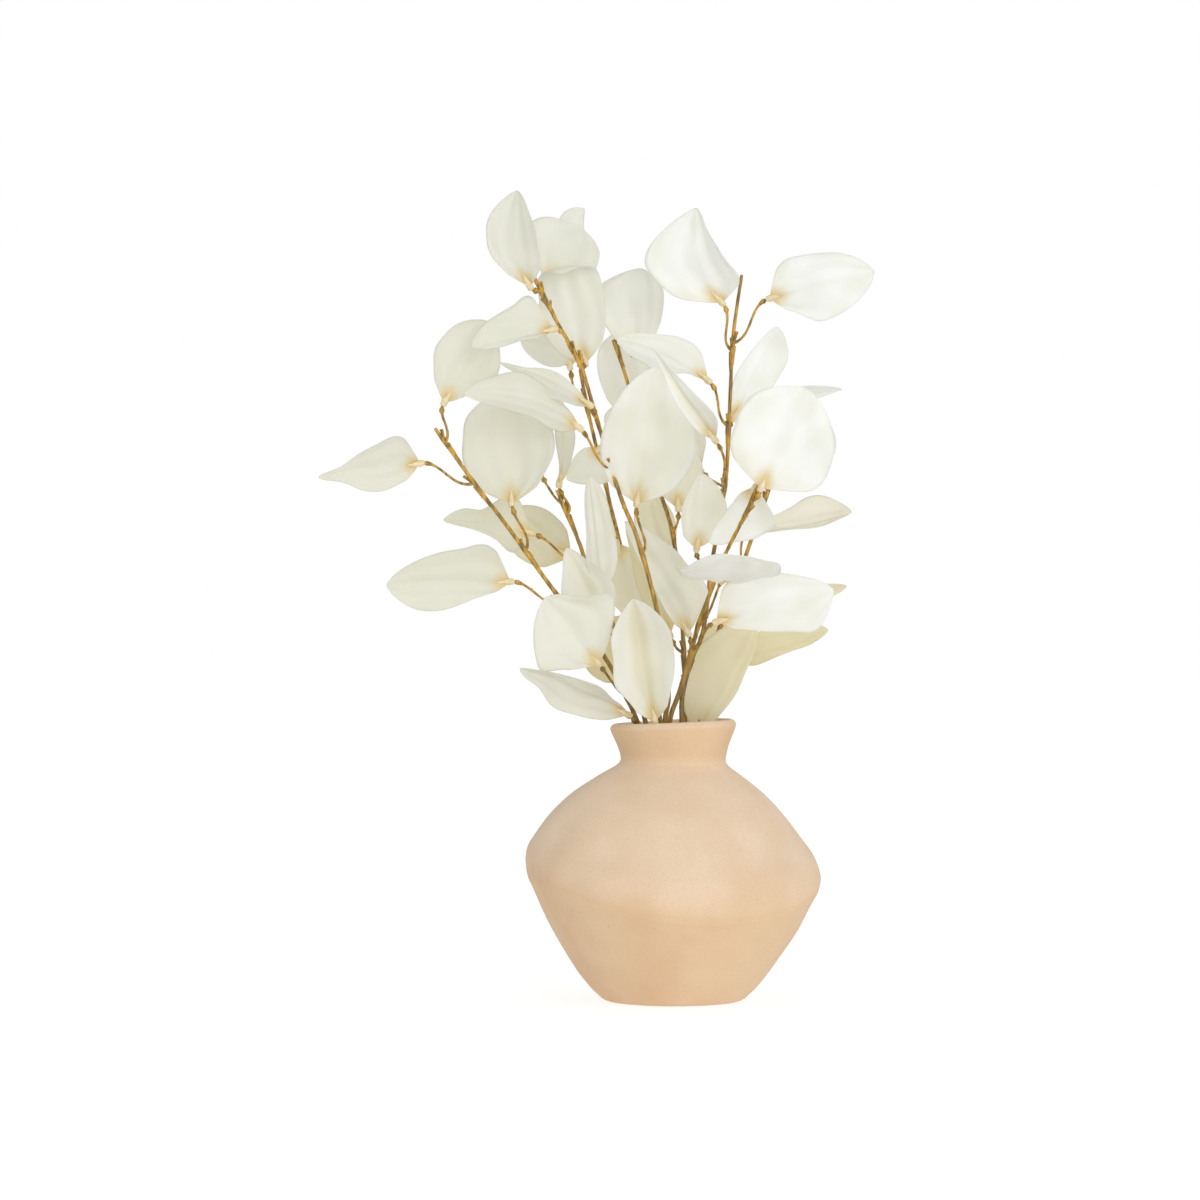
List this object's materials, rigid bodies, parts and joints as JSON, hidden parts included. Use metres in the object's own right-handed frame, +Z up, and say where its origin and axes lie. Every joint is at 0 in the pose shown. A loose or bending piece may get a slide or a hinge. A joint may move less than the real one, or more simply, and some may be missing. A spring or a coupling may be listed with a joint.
{
  "type": "vase of bleached eucalyptus",
  "caption": "Hand-formed unglazed stoneware vase with a wide ridge and a flared neck, holding loose leafy stems of bleached eucalyptus with brown twigs.",
  "frame": {"origin": "middle of the vase's foot, on the surface it stands on", "axes": "+Z up; the front that the picture shows faces -Y, with +X to the viewer's right"},
  "size_m": [0.3296, 0.2164, 0.4825],
  "materials": {
    "stoneware": "matte unglazed",
    "foliage": "matte woven",
    "twig": "satin moulded"
  },
  "bodies": {
    "root": {"vase": "stoneware", "leafy_stem_left": "foliage", "leafy_stem_inner_left": "foliage", "leafy_stem_tall": "foliage", "leafy_stem_middle": "foliage", "leafy_stem_right": "foliage", "leafy_stem_front": "foliage", "leafy_stem_back_right": "foliage", "leafy_stem_back_left": "foliage"}
  },
  "joints": []
}
